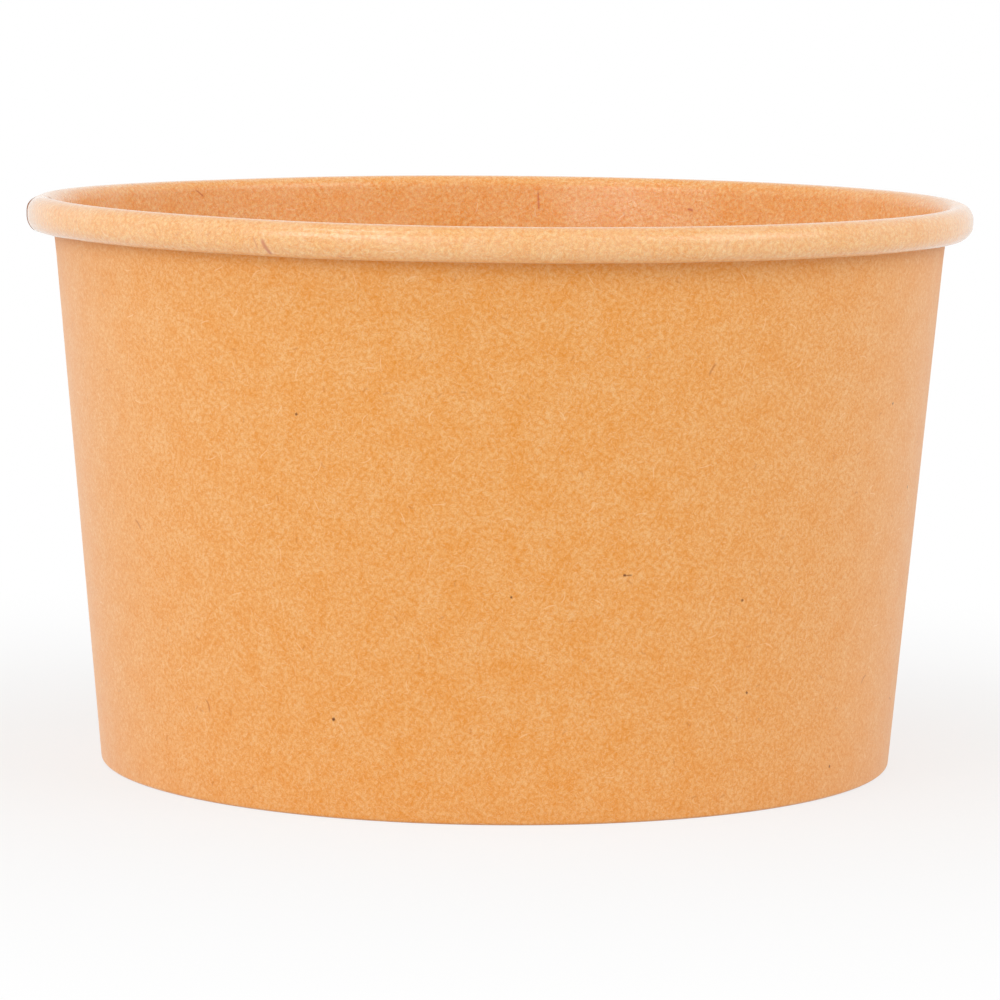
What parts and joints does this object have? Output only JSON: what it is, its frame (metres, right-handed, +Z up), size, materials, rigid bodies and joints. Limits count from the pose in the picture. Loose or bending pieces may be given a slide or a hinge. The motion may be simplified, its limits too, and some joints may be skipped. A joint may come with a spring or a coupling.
{
  "type": "paper ice cream tub",
  "caption": "Round tapered kraft paper tub with a rolled brim, a lapped side seam and a recessed bottom held in a hem, for a portion of ice cream.",
  "frame": {"origin": "centre of the ring that the tub stands on, in the base plane", "axes": "+Z up through the open mouth, -Y to the front, -X to the side seam"},
  "size_m": [0.0962, 0.096, 0.0575],
  "materials": {
    "kraft_wall_board": "matte kraft outside, coated satin inside and over the brim",
    "kraft_disc_board": "coated satin on top, matte kraft below"
  },
  "bodies": {
    "root": {"side_wall": "kraft_wall_board", "bottom_disc": "kraft_disc_board"}
  },
  "joints": []
}
